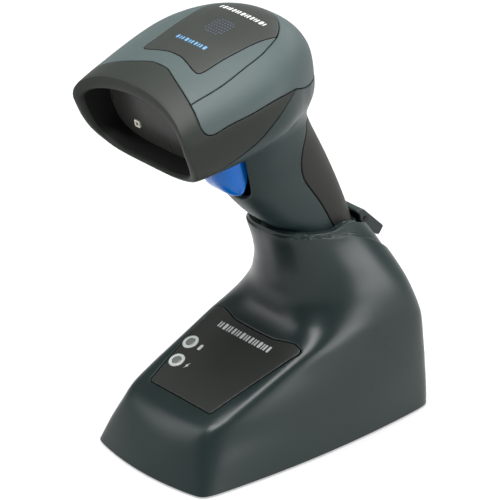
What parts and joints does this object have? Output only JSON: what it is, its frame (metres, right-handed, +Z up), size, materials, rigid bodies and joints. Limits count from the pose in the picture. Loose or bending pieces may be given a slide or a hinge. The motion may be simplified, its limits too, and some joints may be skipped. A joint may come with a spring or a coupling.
{
  "type": "cordless barcode scanner with charging cradle",
  "caption": "Pistol-grip handheld barcode scanner standing in a wedge-shaped charging cradle, with a squeeze trigger and a release tab.",
  "frame": {"origin": "middle of the bounding box, at the bottom of the cradle's rubber feet", "axes": "+Z up from the desk, +X across the product to the scanner's own left, +Y from the scanner's mouth to the cradle's back"},
  "size_m": [0.0746, 0.1251, 0.1736],
  "materials": {
    "housing_plastic": "fine moulded satin",
    "cradle_plastic": "smooth satin",
    "soft_rubber": "soft-touch overmould",
    "label_plastic": "satin plate",
    "trigger_plastic": "polished",
    "black_plastic": "matt moulded",
    "window_plastic": "polished dark tint",
    "light_plastic": "translucent white",
    "grey_plastic": "smooth",
    "board_green": "solder-masked board",
    "steel": "zinc plated",
    "gold": "gold plated",
    "foot_rubber": "plain black"
  },
  "bodies": {
    "cradle": {"cradle_shell": "cradle_plastic", "cradle_base_plate": "black_plastic", "cradle_label_plate": "label_plastic", "docking_cup": "black_plastic", "status_ring_charge": "light_plastic", "status_ring_power": "light_plastic", "status_lens_charge": "grey_plastic", "status_lens_power": "grey_plastic", "cradle_board": "board_green", "data_socket": "black_plastic", "power_jack": "black_plastic", "rubber_foot_1": "foot_rubber", "rubber_foot_2": "foot_rubber", "rubber_foot_3": "foot_rubber", "rubber_foot_4": "foot_rubber", "base_screw_1": "steel", "base_screw_2": "steel", "base_screw_3": "steel", "base_screw_4": "steel", "contact_block": "black_plastic", "latch_pin": "steel"},
    "charge_pin_left": {"charge_pin_left": "gold"},
    "charge_pin_right": {"charge_pin_right": "gold"},
    "latch": {"latch_lever": "cradle_plastic"},
    "scanner": {"lower_housing": "housing_plastic", "top_cover": "housing_plastic", "top_insert": "housing_plastic", "top_label_plate": "label_plastic", "nose_bumper": "soft_rubber", "mouth_funnel": "black_plastic", "scan_window": "window_plastic", "window_seal": "foot_rubber", "engine_bracket": "black_plastic", "camera_module": "black_plastic", "lens_barrel": "black_plastic", "lens_glass": "window_plastic", "aimer_aperture": "light_plastic", "illumination_led_left": "light_plastic", "illumination_led_right": "light_plastic", "main_board": "board_green", "board_screw_left": "steel", "board_screw_right": "steel", "beeper": "black_plastic", "light_guide": "light_plastic", "rear_grip": "soft_rubber", "battery_cell": "grey_plastic", "foot_cap": "black_plastic", "foot_screw": "steel", "contact_board": "board_green", "charge_contact_left": "gold", "charge_contact_right": "gold", "trigger_pin": "steel", "trigger_switch": "black_plastic", "trigger_leaf_spring": "steel"},
    "trigger": {"trigger": "trigger_plastic"}
  },
  "joints": [
    {"name": "scanner_lift", "type": "slide", "parent": "cradle", "child": "scanner", "axis": [0, -0.342, 0.9397], "range_m": [0, 0.085]},
    {"name": "trigger_press", "type": "hinge", "parent": "scanner", "child": "trigger", "pos_m": [0, -0.0176, 0.1235], "axis": [1, 0, 0], "range_deg": [0, 5.5], "stiffness_Nm_per_rad": 0.3, "springref_deg": -3.44},
    {"name": "latch_release", "type": "hinge", "parent": "cradle", "child": "latch", "pos_m": [0, 0.0466, 0.0774], "axis": [1, 0, 0], "range_deg": [-4, 0], "stiffness_Nm_per_rad": 0.3, "springref_deg": 3.44},
    {"name": "charge_pin_left_press", "type": "slide", "parent": "cradle", "child": "charge_pin_left", "axis": [0, -0.342, 0.9397], "range_m": [-0.0012, 0], "stiffness_N_per_m": 200, "springref_m": 0.001},
    {"name": "charge_pin_right_press", "type": "slide", "parent": "cradle", "child": "charge_pin_right", "axis": [0, -0.342, 0.9397], "range_m": [-0.0012, 0], "stiffness_N_per_m": 200, "springref_m": 0.001}
  ]
}
